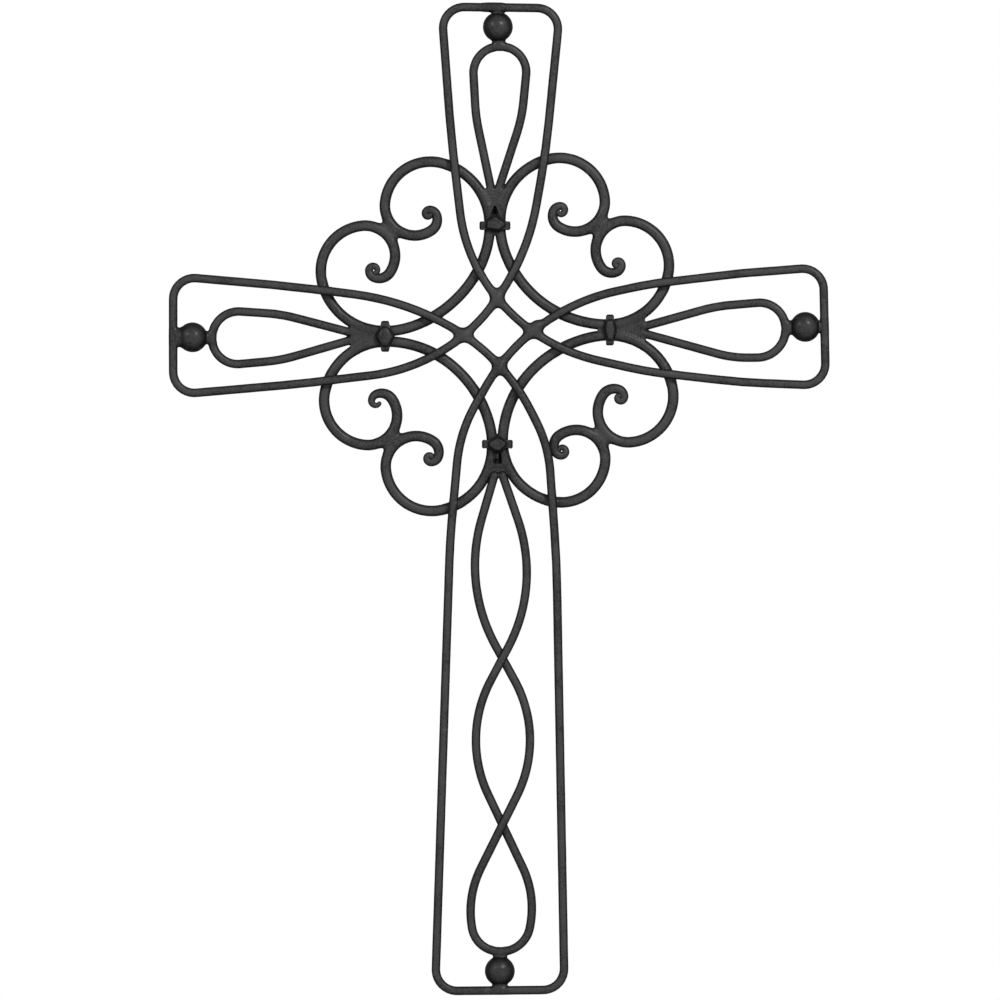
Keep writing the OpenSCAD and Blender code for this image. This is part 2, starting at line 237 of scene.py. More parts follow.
class Graph:
    """A node tree that nodes are added to, one call for each."""

    def __init__(self, tree):
        self.tree = tree

    def node(self, kind, sockets=None, **settings):
        """Adds a node, with its settings first and then its sockets' values or links."""
        made = self.tree.nodes.new(kind)
        for name, value in settings.items():
            setattr(made, name, value)
        for name, value in (sockets or {}).items():
            self.feed(made.inputs[name], value)
        return made

    def value(self, kind, sockets=None, output=0, **settings):
        return Socket(self, self.node(kind, sockets, **settings).outputs[output])

    def feed(self, target, value):
        if isinstance(value, Socket):
            self.tree.links.new(value.output, target)
        else:
            target.default_value = value

    def mixed(self, factor, first, second):
        """A colour between two colours."""
        return self.value("ShaderNodeMix", {0: factor, 6: first, 7: second}, 2, data_type="RGBA")


def new_geometry_tree(name, inputs):
    """A Geometry Nodes tree with a geometry, a material and other inputs, which are given by name."""
    tree = bpy.data.node_groups.new(name, "GeometryNodeTree")
    face = tree.interface
    face.new_socket("Geometry", in_out="INPUT", socket_type="NodeSocketGeometry")
    for label, kind, default in inputs:
        socket = face.new_socket(label, in_out="INPUT", socket_type=kind)
        socket.default_value = default
    face.new_socket("Paint", in_out="INPUT", socket_type="NodeSocketMaterial")
    face.new_socket("Geometry", in_out="OUTPUT", socket_type="NodeSocketGeometry")
    graph = Graph(tree)
    source = graph.node("NodeGroupInput")
    return graph, {socket.name: Socket(graph, socket) for socket in source.outputs}


def add_dents(graph, source, geometry):
    """Moves a surface in and out along its normal by two sizes of noise."""
    place = graph.value("GeometryNodeInputPosition")
    broad, fine = (
        graph.value(
            "ShaderNodeTexNoise",
            {"Vector": place, "W": source["Seed"], "Scale": share / source["Dent Size"],
             "Detail": 1.0},
            noise_dimensions="4D",
        )
        for share in (1.0, 3.1)
    )
    push = (broad - 0.5 + 0.45 * (fine - 0.5)) * source["Dent Depth"]
    normal = graph.value("GeometryNodeInputNormal")
    offset = graph.value("ShaderNodeVectorMath", {0: normal, "Scale": push}, operation="SCALE")
    return graph.value("GeometryNodeSetPosition", {"Geometry": geometry, "Offset": offset})


def finish_geometry(graph, source, geometry):
    """Smooth shading, real geometry and the paint, at the end of a tree."""
    smooth = graph.value("GeometryNodeSetShadeSmooth", {"Geometry": geometry})
    real = graph.value("GeometryNodeRealizeInstances", {"Geometry": smooth})
    painted = graph.value(
        "GeometryNodeSetMaterial", {"Geometry": real, "Material": source["Paint"]}
    )
    graph.node("NodeGroupOutput", {"Geometry": painted})


DENT_INPUTS = [
    ("Dent Depth", "NodeSocketFloat", 0.00016),
    ("Dent Size", "NodeSocketFloat", 0.008),
    ("Seed", "NodeSocketFloat", 0.0),
]


def bent_rod_tree():
    """Sweeps a round section along a line, to the radius that each of its points carries."""
    graph, source = new_geometry_tree(
        "bent_rod", [("Section Sides", "NodeSocketInt", 20)] + DENT_INPUTS
    )
    line = graph.value("GeometryNodeMeshToCurve", {"Mesh": source["Geometry"]})
    section = graph.value(
        "GeometryNodeCurvePrimitiveCircle", {"Resolution": source["Section Sides"], "Radius": 1.0}
    )
    radius = graph.value(
        "GeometryNodeInputNamedAttribute", {"Name": "rod_radius"}, data_type="FLOAT"
    )
    rod = graph.value(
        "GeometryNodeCurveToMesh",
        {"Curve": line, "Profile Curve": section, "Scale": radius, "Fill Caps": True},
    )
    finish_geometry(graph, source, add_dents(graph, source, rod))
    return graph.tree


def forged_skin_tree():
    """Marks a finished skin of forged or weld metal with dents."""
    graph, source = new_geometry_tree("forged_skin", DENT_INPUTS)
    finish_geometry(graph, source, add_dents(graph, source, source["Geometry"]))
    return graph.tree


def tree_named(name):
    """The tree of that name, built the first time it is asked for."""
    makers = {"bent_rod": bent_rod_tree, "forged_skin": forged_skin_tree}
    return bpy.data.node_groups.get(name) or makers[name]()


def through_tree(mesh, tree, values):
    """A mesh run through a Geometry Nodes tree with named values, as a plain mesh."""
    carrier = bpy.data.objects.new("carrier", mesh)
    bpy.context.scene.collection.objects.link(carrier)
    modifier = carrier.modifiers.new("nodes", "NODES")
    modifier.node_group = tree
    for item in tree.interface.items_tree:
        if item.item_type == "SOCKET" and item.in_out == "INPUT" and item.name in values:
            modifier[item.identifier] = values[item.name]
    graph = bpy.context.evaluated_depsgraph_get()
    made = bpy.data.meshes.new_from_object(carrier.evaluated_get(graph), depsgraph=graph)
    bpy.data.objects.remove(carrier)
    return made


# ---------- Paint ----------
# Each kind of paint next to the rods' own: shares of its dark and its light, what is added to its
# roughness, and shares of its grain's size and depth
PAINTS = {
    "rod": (1, 1, 0, 1, 1),
    "forged": (0.8, 0.8, -0.1, 1.3, 1.3),
    "weld": (0.9, 0.85, 0, 0.8, 1.5),
}
CLOUD_SIZE = 21 * MM
WORN_SIZE = 6 * MM


def satin_paint(name, dark, light, roughness, grain_size, grain_depth):
    """Satin black paint, brushed over iron whose own marks show through it."""
    material = bpy.data.materials.new(name)
    material.use_nodes = True
    graph = Graph(material.node_tree)
    shader = material.node_tree.nodes["Principled BSDF"]
    place = graph.value("ShaderNodeTexCoord", output=3)

    def noise(size, detail=2.0, distortion=0.0):
        return graph.value(
            "ShaderNodeTexNoise",
            {"Vector": place, "Scale": 1 / size, "Detail": detail, "Distortion": distortion},
        )

    cloud = noise(CLOUD_SIZE, 3.0).smoothed(0.36, 0.66)
    grain = noise(grain_size, 3.0)
    speck = noise(grain_size * 0.32)
    worn = noise(WORN_SIZE, 4.0, 0.6).smoothed(0.6, 0.78)
    # The paint is lighter where a surface faces front or back and darker towards the rods' sides.
    # This is a painted highlight and painted shade that stand in for the lamps' light falling off
    # round the rods. The same mask also makes the sides rougher.
    facing = graph.value("ShaderNodeTexCoord", output=1)
    depth = graph.value("ShaderNodeSeparateXYZ", {0: facing}, output=1)
    painted_lit = depth.greatest(0.0 - depth).smoothed(0.52, 1.0)
    tone = graph.mixed(
        painted_lit * (0.72 + 0.4 * cloud + 1.9 * (grain - 0.5)), (*dark, 1), (*light, 1)
    )
    bare = tuple(1.5 * c + 0.004 for c in light)
    graph.feed(shader.inputs["Base Color"], graph.mixed(0.5 * worn, tone, (*bare, 1)))
    polish = 0.16 * grain - 0.07 * worn + 0.05 * cloud + 0.4 * (1.0 - painted_lit)
    graph.feed(shader.inputs["Roughness"], roughness - 0.07 + polish)
    relief = graph.value(
        "ShaderNodeBump",
        {"Strength": 0.55, "Distance": grain_depth, "Height": grain + 0.45 * speck},
    )
    graph.feed(shader.inputs["Normal"], relief)
    shader.inputs["Metallic"].default_value = 0.0
    shader.inputs["Specular IOR Level"].default_value = 0.09
    return material


def paint_for(kind):
    """The paint of the rods, of the forged pieces or of the welds, made the first time."""
    name = f"satin_black_{kind}"
    paint = bpy.context.scene.cross_paint
    dark, light, rougher, size, depth = PAINTS[kind]
    return bpy.data.materials.get(name) or satin_paint(
        name,
        tuple(dark * c for c in paint.dark),
        tuple(light * c for c in paint.light),
        paint.roughness + rougher,
        size * paint.grain,
        depth * paint.grain_depth,
    )


# ---------- Lines on the face ----------


def unit(v):
    return v / np.linalg.norm(v)


def on_arm(arm, p):
    """A point (across, outward) of an arm's own frame, placed on the face."""
    across, out = p[0], p[1]
    return {
        "top": (across, out),
        "foot": (across, -out),
        "left": (-out, across),
        "right": (out, across),
    }[arm]


def bent(corners, step=2.5):
    """A bent rod's centreline through (x, z, bend radius) corners."""
    line = [np.array(corners[0][:2], float)]
    for before, corner, after in zip(corners, corners[1:], corners[2:]):
        a, p, b = (np.array(c[:2], float) for c in (before, corner, after))
        ahead, leaving = unit(p - a), unit(b - p)
        turn = math.atan2(
            ahead[0] * leaving[1] - ahead[1] * leaving[0], float(np.dot(ahead, leaving))
        )
        radius = corner[2]
        left = np.array([-ahead[1], ahead[0]]) * math.copysign(1, turn)
        start = p - ahead * radius * math.tan(abs(turn) / 2)
        count = max(1, math.ceil(math.degrees(abs(turn)) / step))
        for k in range(count + 1):
            angle = abs(turn) * k / count
            line.append(
                start + ahead * radius * math.sin(angle) + left * radius * (1 - math.cos(angle))
            )
    line.append(np.array(corners[-1][:2], float))
    return np.array(line)


def coil(start, heading, bends, step=5):
    """Points of successive clockwise bends, each (radius, turn), from a start in a heading."""
    line, here = [], np.array(start, float)
    for radius, turn in bends:
        centre = here + radius * np.array(
            [math.sin(math.radians(heading)), -math.cos(math.radians(heading))]
        )
        count = math.ceil(turn / step)
        for k in range(1, count + 1):
            angle = math.radians(heading - turn * k / count)
            line.append(centre + radius * np.array([-math.sin(angle), math.cos(angle)]))
        here, heading = line[-1], heading - turn
    return line


def sweep_between(a, leaving, b, reaching, pull, count=48):
    """Points inside a smooth curve that leaves a and reaches b along given headings."""
    a, b = np.array(a, float), np.array(b, float)
    span = np.linalg.norm(b - a)
    p = a + np.array(leaving) * pull[0] * span
    q = b - np.array(reaching) * pull[1] * span
    t = np.linspace(0, 1, count + 1)[1:-1, None]
    s = 1 - t
    return s**3 * a + 3 * s * s * t * p + 3 * s * t * t * q + t**3 * b


def length_along(line):
    """How far along a line each of its points lies."""
    return np.concatenate([[0], np.cumsum(np.linalg.norm(np.diff(line, axis=0), axis=1))])


def evenly(line, spacing):
    """A line of (x, y, z, radius) drawn again with even spacing."""
    steps = np.linalg.norm(np.diff(line[:, :3], axis=0), axis=1)
    line = line[np.concatenate([[True], steps > 1e-9])]
    along = length_along(line[:, :3])
    wanted = np.linspace(0, along[-1], max(2, round(along[-1] / spacing) + 1))
    return np.column_stack([np.interp(wanted, along, column) for column in line.T])


def lifted(line, depth, radius):
    """A line on the face as points (x, y, z, radius), in the frame of the whole cross."""
    x, z = np.asarray(line, float).T
    depths, radii = np.broadcast_to(depth, len(x)), np.broadcast_to(radius, len(x))
    return np.column_stack([x, depths, z + KNOT_Z, radii + PAINT])


def bar_corners(name):
    """The two corners of an arm's end bar, the low-across one first."""
    arm = ARMS[name]
    return [
        (*on_arm(name, (arm.bar_off + s * arm.end_w / 2, arm.reach + s * arm.skew)), CORNER_R)
        for s in (-1, 1)
    ]


def middle(corners):
    return tuple((np.array(corners[0][:2]) + np.array(corners[1][:2])) / 2)


def outline_line(spacing=1.6):
    """The outline rod's whole closed centreline."""
    line = []
    for start, a, end, b, corners in RUNS:
        first, last = bar_corners(start), bar_corners(end)
        line.extend(bent([middle(first), first[a], *corners, last[b], middle(last)])[:-1])
    line.append(line[0])
    return evenly(lifted(line, OUTLINE_Y, OUTLINE_R), spacing)


def lobe(name):
    """A lobe's line in its collar's frame (sideways, outward)."""
    straight, spread, size, curl = LOBES[name]
    bends = [(radius * size, turn) for radius, turn in LOBE_BENDS + CURLS[curl][0]]
    start = [(PAIR, 0), (PAIR, straight + 1e-3)]
    return np.array(start + coil((PAIR, straight), 90 - spread, bends))


def lobe_radii(name, line):
    """The rod's radius along a lobe, drawn out thinner over its curl."""
    size, curl = LOBES[name][2:]
    bends, tip_r = CURLS[curl]
    drawn = sum(radius * size * math.radians(turn) for radius, turn in bends)
    along = length_along(line)
    share = np.clip((along - (along[-1] - drawn)) / drawn, 0, 1)
    return SCROLL_R - (SCROLL_R - tip_r) * share**1.6


def fork_side(name):
    """The part of a lobe's line that heads outward from its collar."""
    line = lobe(name)
    return line[: int(np.argmax(np.diff(line[:, 1]) < 0)) + 1]


def lobe_on(arm, side, line):
    """A lobe's line placed at an arm's collar, on one side of the arm."""
    off, out = ARMS[arm].collar_off, ARMS[arm].collar
    return np.array([on_arm(arm, (off + side * p[0], out + p[1])) for p in line])


def rounded_end(line):
    """A line of (x, y, z, radius) with a round nose added at its last point."""
    ahead = unit(line[-1, :3] - line[-2, :3])
    radius = line[-1, 3]
    nose = [
        [*(line[-1, :3] + ahead * radius * math.sin(a)), radius * math.cos(a)]
        for a in np.radians([20, 40, 58, 73, 84])
    ]
    return np.vstack([line, nose])


def scroll_line(name, spacing=0.5):
    """A scroll's whole centreline: lobe, arc round the knot, lobe."""
    arm_a, side_a, lobe_a, arm_b, side_b, lobe_b, pull = SCROLLS[name]
    line_a, line_b = lobe(lobe_a), lobe(lobe_b)
    on_a, on_b = lobe_on(arm_a, side_a, line_a), lobe_on(arm_b, side_b, line_b)
    inner = sweep_between(on_a[0], on_arm(arm_a, (0, -1)), on_b[0], on_arm(arm_b, (0, 1)), pull)
    line = np.vstack([on_a[::-1], inner, on_b])
    radii = np.concatenate(
        [
            lobe_radii(lobe_a, line_a)[::-1],
            np.full(len(inner), SCROLL_R),
            lobe_radii(lobe_b, line_b),
        ]
    )
    whole = evenly(lifted(line, SCROLL_Y, radii), spacing)
    return rounded_end(rounded_end(whole)[::-1])[::-1]


def root_of(name):
    """Distance from the knot to a loop's legs, at its web's far edge."""
    return ARMS[name].collar + ARMS[name].web[1] + ROOT_GAP


def loop_end(name):
    """Distance from the knot to the centreline of a loop's round end."""
    return ARMS[name].reach - BALL_INSET - SEAT


def on_axis(name, line, bow):
    """A loop's line set on its arm's own axis, which may lean and bow."""
    arm = ARMS[name]
    start, end = root_of(name), loop_end(name)
    placed = []
    for across, out in line:
        t = (out - start) / (end - start)
        off = arm.root_off + (arm.loop_off - arm.root_off) * t + bow * math.sin(math.pi * t)
        placed.append(on_arm(name, (across + off, out)))
    return np.array(placed)


def teardrop_line(name, spacing=1.4):
    """A teardrop loop's centreline, with its legs run on into the web."""
    start, end = root_of(name), loop_end(name)
    half, leg = TEARDROP_W / 2, OUTLINE_R + WELD_GAP / 2
    *shoulders, bow = TEARDROPS[name]
    sides = []
    for waist, share, radius in shoulders:
        shoulder = start + share * (end - start)
        lean = math.degrees(math.atan2(half - waist, end - shoulder))
        end_r = (half - WELD_GAP) / math.tan(math.radians((90 + lean) / 2))
        sides.append([(leg, start, 0), (waist, shoulder, radius), (half, end, end_r)])
    line = bent([(-x, z, r) for x, z, r in sides[0]] + sides[1][::-1])
    line = np.vstack([[line[0] - (0, INTO_WEB)], line, [line[-1] - (0, INTO_WEB)]])
    depth = SCROLL_Y + (BALL_Y - SCROLL_Y) * (line[:, 1] - start) / (end - start)
    return evenly(lifted(on_axis(name, line, bow), depth, OUTLINE_R), spacing)


def stem_loop_line(spacing=1.4):
    """The stem loop's centreline: two strands that swell, cross and meet in the round end."""
    start, end = root_of("foot"), loop_end("foot")
    span = end - start
    swells = [(out, start + share * span, bend * span) for out, share, bend in STEM_SWELLS]
    ends = [(out, end - back, bend_r) for out, back, bend_r in STEM_END]
    half = bent([(OUTLINE_R + WELD_GAP / 2, start), *swells, *ends, (0, end)])
    line = np.vstack([half, (half * (-1, 1))[::-1]])
    first = np.where(np.arange(len(line)) < len(half), 1, -1)
    rise = 0
    for share, front in STEM_CROSSINGS:
        away = np.abs(line[:, 1] - (start + share * span)) / (STEM_RISE * span)
        rise = rise + front * (1 + np.cos(np.pi * np.clip(away, 0, 1))) / 2
    from_y = SCROLL_Y - STEM_LEAD
    straight = from_y + (BALL_Y - from_y) * (line[:, 1] - start) / span
    depth = straight - first * (OUTLINE_R + WELD_GAP) * rise
    return evenly(lifted(on_axis("foot", line, STEM_BOW), depth, OUTLINE_R), spacing)


def loop_line(name):
    """The centreline of an arm's loop."""
    return stem_loop_line() if name == "foot" else teardrop_line(name)


def run_on(line):
    """A closed line that goes on past its start, so that a stretch there isn't cut in two."""
    return np.vstack([line[:-1], line[:40]])


# A strand of rod in a weld takes every third point of the rod's line. It stands proud of the rod for
# a share of its reach, then sinks below its surface
STRAND_STEP = 3
PROUD = 0.05
LEVEL = 0.6
SUNK = 0.35


def crossings(a, b, apart=None):
    """The points where two lines cross on the face, or one crosses itself some points apart."""
    pa, pb = a[:, [0, 2]], b[:, [0, 2]]
    da, db = np.diff(pa, axis=0), np.diff(pb, axis=0)
    gap = pb[None, :-1] - pa[:-1, None]
    cross = da[:, None, 0] * db[None, :, 1] - da[:, None, 1] * db[None, :, 0]
    with np.errstate(divide="ignore", invalid="ignore"):
        t = (gap[..., 0] * db[None, :, 1] - gap[..., 1] * db[None, :, 0]) / cross
        s = (gap[..., 0] * da[:, None, 1] - gap[..., 1] * da[:, None, 0]) / cross
    hit = (t >= 0) & (t < 1) & (s >= 0) & (s < 1)
    if apart:
        i, j = np.indices(hit.shape)
        hit &= (j - i > apart) & (j - i < len(a) - apart - 2)
    return [a[i, :3] + t[i, j] * (a[i + 1, :3] - a[i, :3]) for i, j in np.argwhere(hit)]


def strands_near(line, centre, reach):
    """The stretches of a line near a point, whose radii sink into the rod at their ends."""
    away = np.linalg.norm(line[:, [0, 2]] - centre[[0, 2]], axis=1)
    strands, run = [], []
    for i in range(len(line) + 1):
        if i < len(line) and away[i] < reach:
            run.append(i)
        else:
            if len(run) > 1:
                run = run[::STRAND_STEP] + run[-1:]
                strand = line[run].copy()
                sink = np.clip((away[run] - LEVEL * reach) / ((1 - LEVEL) * reach), 0, 1)
                strand[:, 3] += PROUD - (PROUD + SUNK) * sink**2
                strands.append(strand)
            run = []
    return strands


# ---------- Skins of forged and weld metal ----------
# A field gives each point its distance outside a shape, in millimetres, below zero inside it.

# A grid of cells reaches from just in front of the cross to just behind the wall. Round strands of
# rod alone, it goes this far past their middles
SKIN_Y = (-19.5, 1.0)
SKIN_MARGIN = 4.5


def rod_field(points, line):
    """Distance outside a rod along a line of (x, y, z, radius)."""
    nearest = np.full(len(points), 1e9)
    for a, b in zip(line, line[1:]):
        along = b[:3] - a[:3]
        from_a = points - a[:3]
        t = np.clip(from_a @ along / max(float(along @ along), 1e-12), 0, 1)
        away = np.linalg.norm(from_a - t[:, None] * along, axis=1)
        nearest = np.minimum(nearest, away - (a[3] + t * (b[3] - a[3])))
    return nearest


def ball_field(points, centre, radius):
    return np.linalg.norm(points - np.asarray(centre), axis=1) - radius


def welded(size, *fields):
    """Shapes joined with a soft fillet of weld of a given size."""
    joined = fields[0]
    for other in fields[1:]:
        share = np.clip(0.5 + 0.5 * (other - joined) / size, 0, 1)
        joined = other + (joined - other) * share - size * share * (1 - share)
    return joined


def cut_to(size, *fields):
    """What several shapes have in common, with softened edges."""
    return -welded(size, *(-field for field in fields))


def part_of(stretches):
    """The index of a part of a grid, by {axis: (start, stop)}, whole along the other axes."""
    return tuple(slice(*stretches.get(axis, (None,))) for axis in range(3))


def skin(field, low, high, cell):
    """Points and quads of the surface where a field is zero, found on a grid of cells."""
    axes = [np.arange(a, b + cell, cell) for a, b in zip(low, high)]
    grid = np.stack(np.meshgrid(*axes, indexing="ij"), axis=-1)
    values = field(grid.reshape(-1, 3)).reshape(grid.shape[:3])
    inside = values < 0
    size = np.array(values.shape)
    count = np.zeros(size - 1)
    total = np.zeros((*(size - 1), 3))
    edges = []
    for a in range(3):
        b, c = (a + 1) % 3, (a + 2) % 3
        near, far = part_of({a: (None, -1)}), part_of({a: (1, None)})
        crossed = inside[near] != inside[far]
        span = np.where(crossed, values[near] - values[far], 1)
        t = np.where(crossed, values[near] / span, 0)
        edges.append((b, c, crossed, inside[near]))
        for db, dc in ((0, 0), (0, 1), (1, 0), (1, 1)):
            part = part_of({b: (db, size[b] - 1 + db), c: (dc, size[c] - 1 + dc)})
            count += crossed[part]
            total[..., a] += t[part]
            total[..., b] += crossed[part] * db
            total[..., c] += crossed[part] * dc
    held = count > 0
    number = np.full(held.shape, -1)
    number[held] = np.arange(held.sum())
    corner = np.stack(np.nonzero(held), axis=-1)
    points = np.array(low) + cell * (corner + total[held] / count[held][:, None])
    quads = []
    for b, c, crossed, start_inside in edges:
        at = np.argwhere(crossed[part_of({b: (1, -1), c: (1, -1)})])
        at[:, [b, c]] += 1
        ring = []
        for db, dc in ((1, 1), (0, 1), (0, 0), (1, 0)):
            cell_at = at.copy()
            cell_at[:, b] -= db
            cell_at[:, c] -= dc
            ring.append(number[tuple(cell_at.T)])
        ring = np.stack(ring, axis=-1)
        outward = start_inside[tuple(at.T)]
        quads.append(np.where(outward[:, None], ring, ring[:, ::-1]))
    return settled(points, field, cell), np.vstack(quads)


def settled(points, field, cell):
    """Points of a skin drawn onto the true surface."""
    for _ in range(2):
        step = 0.2 * cell
        here = field(points)
        slope = np.stack(
            [(field(points + step * axis) - here) / step for axis in np.eye(3)], axis=-1
        )
        steep = np.maximum((slope**2).sum(1), 0.25)
        move = -here[:, None] * slope / steep[:, None]
        points = points + np.clip(move, -0.5 * cell, 0.5 * cell)
    return points


def skin_round(field, centre, reach, cell):
    """A skin in the box round a centre, as deep as the cross is."""
    low = (centre[0] - reach, SKIN_Y[0], centre[2] - reach)
    high = (centre[0] + reach, SKIN_Y[1], centre[2] + reach)
    return skin(field, low, high, cell)


def joint_skin(strands, fillet, cell, beads=()):
    """The skin of weld that joins several strands of rod, with beads as (centre, radius)."""
    line = np.vstack([s[:, :3] for s in strands])

    def field(p):
        fields = [rod_field(p, s) for s in strands]
        fields += [ball_field(p, centre, radius) for centre, radius in beads]
        return welded(fillet, *fields)

    return skin(field, line.min(0) - SKIN_MARGIN, line.max(0) + SKIN_MARGIN, cell)


# ---------- Meshes and pieces ----------


def mesh_of(name, points, faces):
    """A mesh from points in millimetres and faces."""
    mesh = bpy.data.meshes.new(name)
    mesh.from_pydata((points * MM).tolist(), [], faces.tolist())
    return mesh


def rod_mesh(name, line, seed, closed=False):
    """A round rod along a line of (x, y, z, radius), as a mesh."""
    rods = bpy.context.scene.cross_rods
    if closed:
        line = line[:-1]
    count = len(line)
    edges = [(i, i + 1) for i in range(count - 1)]
    if closed:
        edges.append((count - 1, 0))
    mesh = bpy.data.meshes.new(name)
    mesh.from_pydata((line[:, :3] * MM).tolist(), edges, [])
    radius = mesh.attributes.new("rod_radius", "FLOAT", "POINT")
    radius.data.foreach_set("value", (line[:, 3] * MM).astype(np.float32))
    return through_tree(
        mesh,
        tree_named("bent_rod"),
        {
            "Section Sides": rods.sides,
            "Dent Depth": rods.dent_depth,
            "Dent Size": rods.dent_size,
            "Seed": seed,
            "Paint": paint_for("rod"),
        },
    )


def skin_mesh(name, made, kind, seed, depth=1.0, size=0.4):
    """A skin of forged or weld metal, marked with dents, as a mesh."""
    rods = bpy.context.scene.cross_rods
    return through_tree(
        mesh_of(name, *made),
        tree_named("forged_skin"),
        {
            "Dent Depth": depth * rods.dent_depth,
            "Dent Size": size * rods.dent_size,
            "Seed": seed,
            "Paint": paint_for(kind),
        },
    )


def piece_from(name, meshes, slot, *nodes):
    """One piece from several meshes, which stands for CAD nodes and keeps the meshes' paint; the slot
    is not used.
    """
    joined = bmesh.new()
    paints = []
    for mesh in meshes:
        before = len(joined.faces)
        joined.from_mesh(mesh)
        joined.faces.ensure_lookup_table()
        for face in joined.faces[before:]:
            paint = mesh.materials[face.material_index] if mesh.materials else None
            if paint not in paints:
                paints.append(paint)
            face.material_index = paints.index(paint)
            face.smooth = True
    bmesh.ops.remove_doubles(joined, verts=joined.verts, dist=1e-7)
    bmesh.ops.recalc_face_normals(joined, faces=joined.faces)
    mesh = bpy.data.meshes.new(name)
    joined.to_mesh(mesh)
    joined.free()
    for paint in paints:
        mesh.materials.append(paint)
    piece = bpy.data.objects.new(name, mesh)
    bpy.context.scene.collection.objects.link(piece)
    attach(piece, BODY)
    if nodes:
        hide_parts(*nodes)
    return piece


# ---------- Settings ----------


def length(name, description, default, least, most, digits=5):
    """A setting for a length, whose numbers are given here in millimetres."""
    return FloatProperty(
        name=name, description=description, default=default * MM, min=least * MM, max=most * MM,
        unit="LENGTH", precision=digits,
    )


def color(name, description, default):
    return FloatVectorProperty(
        name=name, description=description, default=default, subtype="COLOR", min=0, max=1
    )


class CrossRods(PropertyGroup):
    """The round rods and the marks on them."""

    sides: IntProperty(
        name="Section sides", description="Flats round a rod's section", default=22, min=8, max=64
    )
    dent_depth: length("Dent depth", "Height of the smith's marks over the surface", 0.14, 0, 0.5)
    dent_size: length("Dent size", "Distance between the smith's marks", 9, 2, 40)


class CrossWelds(PropertyGroup):
    """The fillets of weld between the pieces."""

    cell: length("Cell", "Size of the grid that a skin of weld is drawn on", 0.5, 0.3, 1)
    crossing: length("Knot crossings", "Fillets where the outline crosses itself", 4.2, 1, 8)
    contact: length("Scroll crossings", "Fillets where the outline lies on a scroll", 1.8, 0.5, 5)
    lobes: length("Lobes", "Fillet between the two lobes of a scroll", 4, 1, 9)
    neck: length("Ball necks", "Fillets at the balls", 1.5, 0.5, 6)


class CrossPaint(PropertyGroup):
    """The black paint."""

    # Dark is painted shade for the rods' sides, and Light is the painted highlight where they face
    # front or back.
    dark: color("Dark", "Paint at the sides of the rods", (0.002, 0.002, 0.0022))
    light: color("Light", "Paint where front and back are rubbed", (0.045, 0.045, 0.047))
    # This is the roughness of the paint that faces front or back, where the painted highlight lies.
    # The sides are made rougher.
    roughness: FloatProperty(
        name="Roughness", description="Roughness of the paint where it is rubbed", default=0.33,
        min=0, max=1, subtype="FACTOR",
    )
    grain: length("Grain", "Size of the grain in the paint", 1.2, 0.2, 4)
    grain_depth: length("Grain depth", "Height of the grain in the paint", 0.05, 0, 0.5, 6)


class CrossStage(PropertyGroup):
    """The floor, the light and the camera."""

    floor_color: color("Floor", "Colour of the floor", (0.86, 0.86, 0.86))
    drop: length("Drop", "From the foot of the cross down to the floor", 160, 20, 2000)
    key: FloatProperty(
        name="Key light", description="Power of the main light", default=70, min=0, unit="POWER"
    )
    fill: FloatProperty(
        name="Fill light", description="Power of the softer light", default=30, min=0, unit="POWER"
    )
    surround: FloatProperty(
        name="Surround", description="Strength of the light from all round", default=0.18, min=0
    )
    distance: length("Camera distance", "From the camera to the wall", 6000, 1000, 50000)
    view_width: length("View width", "Width that the camera takes in at the cross", 615, 100, 5000)


# ---------- Pieces ----------


# How far the weld reaches along the rods from a crossing of the knot, from a crossing with a scroll
# and from where two lobes touch
KNOT_REACH = 13
CONTACT_REACH = 9
LOBE_REACH = 14

# Points each side of a scroll's middle that lie on the sweep between its lobes
SWEEP_POINTS = 90

# The bead of weld left at the knot's right crossing, which alone lies right of RIGHT_OF: its place
# from the crossing, and its radius
RIGHT_OF = 15
KNOT_BEAD = ((2.2, -0.3, 4.6), 1.7)


class CROSS_OT_outline(Operator):
    """Bends the one rod of the cross's outline and welds it to itself and to the scrolls"""

    bl_idname = "cross.outline"
    bl_label = "Outline"

    def execute(self, context):
        welds = context.scene.cross_welds
        cell = 1.2 * welds.cell / MM
        line = outline_line()
        whole = run_on(line)
        meshes = [rod_mesh("outline", outline_line(spacing=2.4), 1.0, closed=True)]
        for i, at in enumerate(crossings(line, line, apart=8)):
            strands = strands_near(whole, at, KNOT_REACH)
            place, radius = KNOT_BEAD
            beads = [(at + place, radius)] if at[0] > RIGHT_OF else []
            made = joint_skin(strands, welds.crossing / MM, cell, beads)
            meshes.append(skin_mesh(f"knot_weld_{i}", made, "rod", 10.0 + i, 1.2, 0.5))
        for name in SCROLLS:
            scroll = scroll_line(name)
            for i, at in enumerate(crossings(line, scroll)):
                strands = [s for rod in (whole, scroll) for s in strands_near(rod, at, CONTACT_REACH)]
                made = joint_skin(strands, welds.contact / MM, cell)
                meshes.append(skin_mesh(f"{name}_weld_{i}", made, "rod", 20.0 + i, 0.9, 0.5))
        piece_from("outline_rod", meshes, "painted_rod", "outline_frame")
        return {"FINISHED"}


